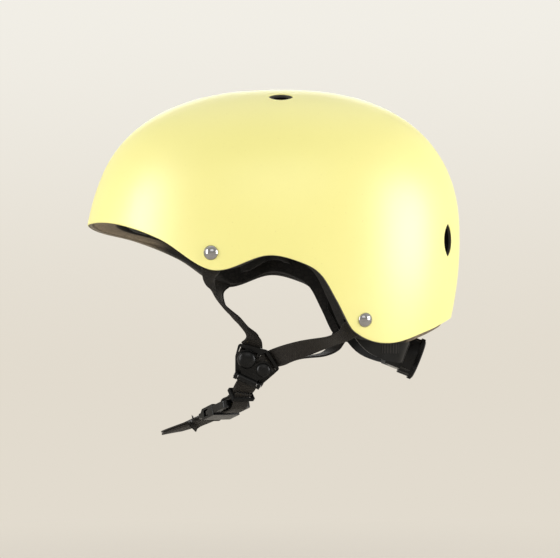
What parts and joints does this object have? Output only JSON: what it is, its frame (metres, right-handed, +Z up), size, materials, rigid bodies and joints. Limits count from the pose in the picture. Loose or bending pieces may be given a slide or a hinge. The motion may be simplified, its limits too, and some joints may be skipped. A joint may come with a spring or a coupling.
{
  "type": "skate helmet",
  "caption": "Round skate helmet with a smooth vented shell, foam liner, comfort pads, riveted webbing, chin buckle and a geared fit dial at the nape.",
  "frame": {"origin": "mount head_seat: middle of the shell's length and width, at the height of the brim tip", "axes": "+Z up as worn, -X to the front, +X to the rear, -Y to the wearer's left"},
  "size_m": [0.2872, 0.222, 0.2628],
  "materials": {
    "shell_yellow": "satin pastel yellow",
    "foam_grey": "fine beaded foam, matt",
    "pad_fabric": "brushed knit",
    "hook_fabric": "hook tape",
    "webbing": "woven webbing",
    "black_plastic": "satin moulded",
    "arm_plastic": "satin moulded, flexible",
    "keeper_rubber": "matt",
    "rivet_chrome": "polished",
    "screw_steel": "zinc plated",
    "gear_plastic": "natural acetal"
  },
  "bodies": {
    "helmet": {"outer_shell": "shell_yellow", "foam_liner": "foam_grey", "brow_pad": "pad_fabric", "crown_pad": "pad_fabric", "left_side_pad": "pad_fabric", "right_side_pad": "pad_fabric", "rear_pad": "pad_fabric", "hook_patches": "hook_fabric", "strap_rivets": "rivet_chrome", "rivet_washers": "screw_steel", "left_front_strap": "webbing", "right_front_strap": "webbing", "left_rear_strap": "webbing", "right_rear_strap": "webbing", "left_divider_plate": "black_plastic", "right_divider_plate": "black_plastic", "left_lever_pin": "screw_steel", "right_lever_pin": "screw_steel", "left_chin_strap": "webbing", "right_chin_strap": "webbing", "strap_tail": "webbing", "strap_keeper": "keeper_rubber", "buckle_plug": "black_plastic", "buckle_prongs": "black_plastic", "arm_studs": "black_plastic", "stud_sockets": "black_plastic"},
    "left_lever": {"left_lock_lever": "black_plastic"},
    "right_lever": {"right_lock_lever": "black_plastic"},
    "socket": {"buckle_socket": "black_plastic"},
    "arms": {"left_arm": "arm_plastic", "right_arm": "arm_plastic"},
    "cradle": {"cradle_housing": "black_plastic", "cradle_cover": "black_plastic", "cover_screws": "screw_steel", "nape_pad": "pad_fabric", "click_spring": "gear_plastic"},
    "dial": {"dial_knob": "black_plastic", "dial_screw": "screw_steel", "drive_pinion": "gear_plastic"},
    "left_rack": {"left_rack": "arm_plastic"},
    "right_rack": {"right_rack": "arm_plastic"}
  },
  "joints": [
    {"name": "left_lever_lift", "type": "hinge", "parent": "helmet", "child": "left_lever", "pos_m": [-0.01802, -0.07603, -0.11805], "axis": [0.9062, 0, -0.4229], "range_deg": [0, 95]},
    {"name": "right_lever_lift", "type": "hinge", "parent": "helmet", "child": "right_lever", "pos_m": [-0.01802, 0.07603, -0.11805], "axis": [-0.9062, 0, 0.4229], "range_deg": [0, 95]},
    {"name": "buckle_release", "type": "slide", "parent": "helmet", "child": "socket", "axis": [-0.5317, 0.8025, -0.2708], "range_m": [0, 0.018], "deforming": ["buckle_prongs", "right_chin_strap"]},
    {"name": "cradle_swing", "type": "hinge", "parent": "helmet", "child": "arms", "pos_m": [0.052, 0, -0.058], "axis": [0, 1, 0], "range_deg": [-8, 8]},
    {"name": "cradle_draw", "type": "slide", "parent": "arms", "child": "cradle", "axis": [-0.9272, 0, 0.3746], "range_m": [-0.0088, 0.0088]},
    {"name": "dial_turn", "type": "hinge", "parent": "cradle", "child": "dial", "pos_m": [0.1118, 0, -0.1028], "axis": [-0.9272, 0, 0.3746], "range_deg": [-115, 115], "deforming": ["click_spring"]},
    {"name": "left_rack_draw", "type": "slide", "parent": "arms", "child": "left_rack", "axis": [-0.6861, 0.6727, 0.2772], "range_m": [-0.012, 0.012], "deforming": ["left_arm"]},
    {"name": "right_rack_draw", "type": "slide", "parent": "arms", "child": "right_rack", "axis": [-0.6861, -0.6727, 0.2772], "range_m": [-0.012, 0.012], "deforming": ["right_arm"]}
  ],
  "couplings": [
    {"joint": "dial_turn", "follows": "cradle_draw", "rad_per_m": 227.27},
    {"joint": "left_rack_draw", "follows": "cradle_draw", "ratio": 1.3515},
    {"joint": "right_rack_draw", "follows": "cradle_draw", "ratio": 1.3515}
  ]
}
